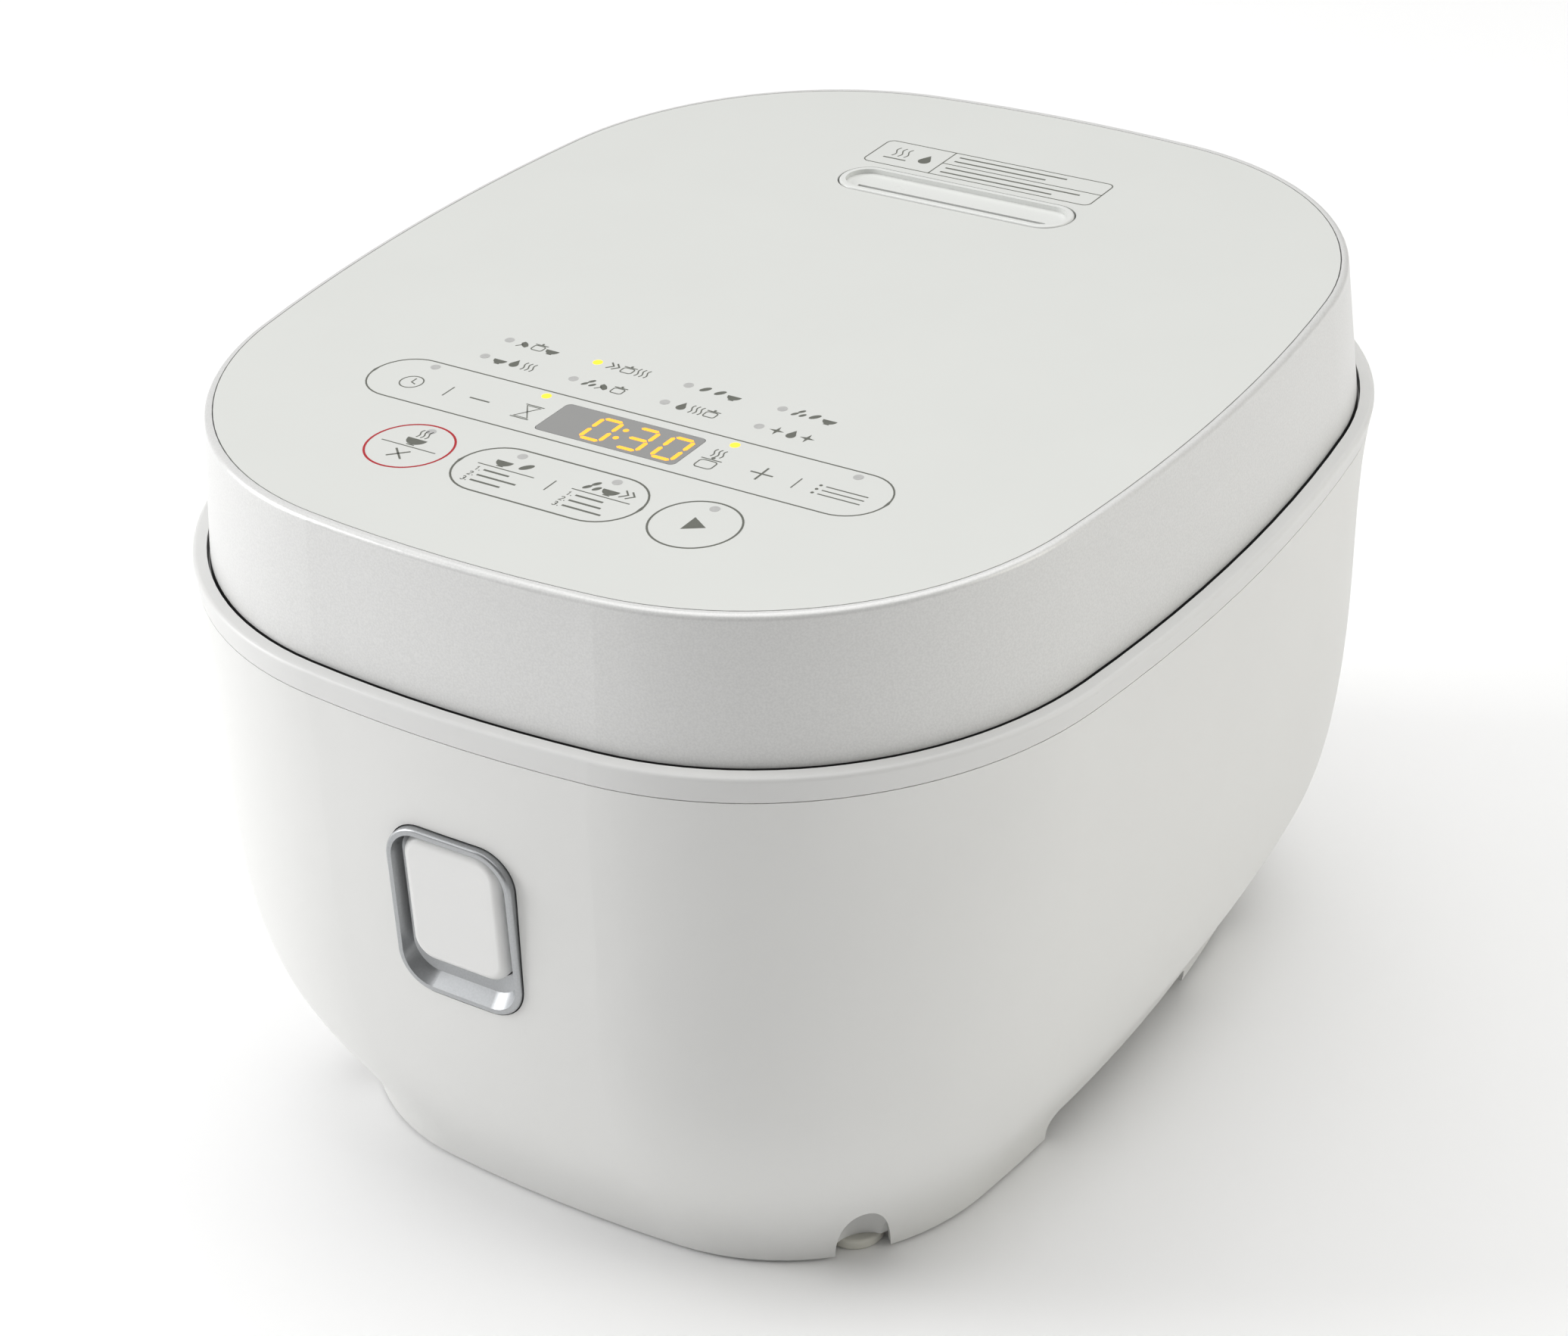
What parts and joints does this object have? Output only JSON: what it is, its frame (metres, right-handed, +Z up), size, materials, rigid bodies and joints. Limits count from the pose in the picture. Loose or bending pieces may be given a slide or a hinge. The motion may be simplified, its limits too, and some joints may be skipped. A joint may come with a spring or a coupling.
{
  "type": "rice cooker",
  "caption": "Low rounded-rectangular countertop rice cooker with a hinged flat-topped lid, front release button, lift-out steam cap and removable pot.",
  "frame": {"origin": "centre of the bounding box's bottom face, on the floor under the middle of the feet", "axes": "+Z up, -Y towards the front with the release button, +X to the right of a person facing the front"},
  "size_m": [0.2554, 0.3022, 0.1948],
  "materials": {
    "lid_pearl": "satin pearl white",
    "panel_white": "smooth semi-gloss white",
    "steam_white": "smooth semi-gloss white",
    "body_white": "fine satin white",
    "ring_white": "fine satin white",
    "window_grey": "smooth smoked lens",
    "lid_under": "smooth light grey",
    "metal_sheet": "brushed",
    "steel": "machined",
    "spring_steel": "drawn wire",
    "silicone": "matte translucent grey",
    "foot_rubber": "matte off-white",
    "pot_coating": "non-stick dark",
    "case_grey": "heat-resistant grey",
    "bezel_silver": "satin silver",
    "button_white": "satin white",
    "board_green": "printed board",
    "black_plastic": "matte",
    "copper_wire": "enamelled",
    "ferrite": "sintered",
    "heat_sink": "extruded",
    "clear_guide": "clear",
    "inner_white": "plain",
    "sensor_cap": "spun"
  },
  "bodies": {
    "body": {"rim_ring": "ring_white", "body_shell": "body_white", "bottom_cover": "body_white", "bottom_screws": "steel", "front_feet": "foot_rubber", "rear_feet": "foot_rubber", "inner_case": "case_grey", "case_screws": "steel", "inner_pot": "pot_coating", "coil_carrier": "black_plastic", "induction_coil": "copper_wire", "ferrite_bars": "ferrite", "sensor_guide": "black_plastic", "sensor_spring": "spring_steel", "fan_frame": "black_plastic", "power_board": "board_green", "board_posts": "inner_white", "heat_sink": "heat_sink", "power_components": "black_plastic", "power_inlet": "black_plastic", "inlet_pins": "steel", "button_bezel": "bezel_silver", "latch_bracket": "inner_white", "latch_pin": "steel", "latch_spring": "spring_steel", "hinge_bracket": "steel", "hinge_pin": "steel", "lid_springs": "spring_steel"},
    "lid": {"lid_skirt": "lid_pearl", "top_panel": "panel_white", "display_lens": "window_grey", "display_module": "black_plastic", "control_board": "board_green", "light_guides": "clear_guide", "steam_tray": "inner_white", "steam_cap_seal": "silicone", "steam_duct": "silicone", "lid_base": "lid_under", "lid_screws": "steel", "hinge_arm": "steel", "inner_lid": "metal_sheet", "inner_lid_seal": "silicone", "lid_catch": "inner_white"},
    "release_button": {"release_button": "button_white"},
    "latch_lever": {"latch_lever": "inner_white"},
    "steam_cap": {"steam_cap": "steam_white"},
    "inner_lid_release": {"inner_lid_release": "lid_under"},
    "sensor_plunger": {"sensor_plunger": "sensor_cap"},
    "fan_rotor": {"fan_rotor": "black_plastic"}
  },
  "joints": [
    {"name": "lid_hinge", "type": "hinge", "parent": "body", "child": "lid", "pos_m": [0, 0.1471, 0.1595], "axis": [-1, 0, 0], "range_deg": [0, 85], "deforming": ["lid_springs"]},
    {"name": "button_slide", "type": "slide", "parent": "body", "child": "release_button", "axis": [0, 1, 0], "range_m": [0, 0.003], "stiffness_N_per_m": 600, "springref_m": -0.002, "deforming": ["latch_spring"]},
    {"name": "latch_rock", "type": "hinge", "parent": "body", "child": "latch_lever", "pos_m": [0, -0.13005, 0.128], "axis": [1, 0, 0], "range_deg": [0, 9]},
    {"name": "steam_cap_lift", "type": "slide", "parent": "lid", "child": "steam_cap", "axis": [0, 0, 1], "range_m": [0, 0.04]},
    {"name": "inner_lid_release_slide", "type": "slide", "parent": "lid", "child": "inner_lid_release", "axis": [0, -1, 0], "range_m": [0, 0.004], "stiffness_N_per_m": 200, "springref_m": -0.003},
    {"name": "sensor_press", "type": "slide", "parent": "body", "child": "sensor_plunger", "axis": [0, 0, -1], "range_m": [0, 0.003], "stiffness_N_per_m": 500, "springref_m": -0.003, "deforming": ["sensor_spring"]},
    {"name": "fan_spin", "type": "hinge", "parent": "body", "child": "fan_rotor", "pos_m": [-0.036, 0.045, 0.0189], "axis": [0, 0, 1], "continuous": true}
  ],
  "couplings": [
    {"joint": "latch_rock", "follows": "button_slide", "rad_per_m": 50}
  ]
}
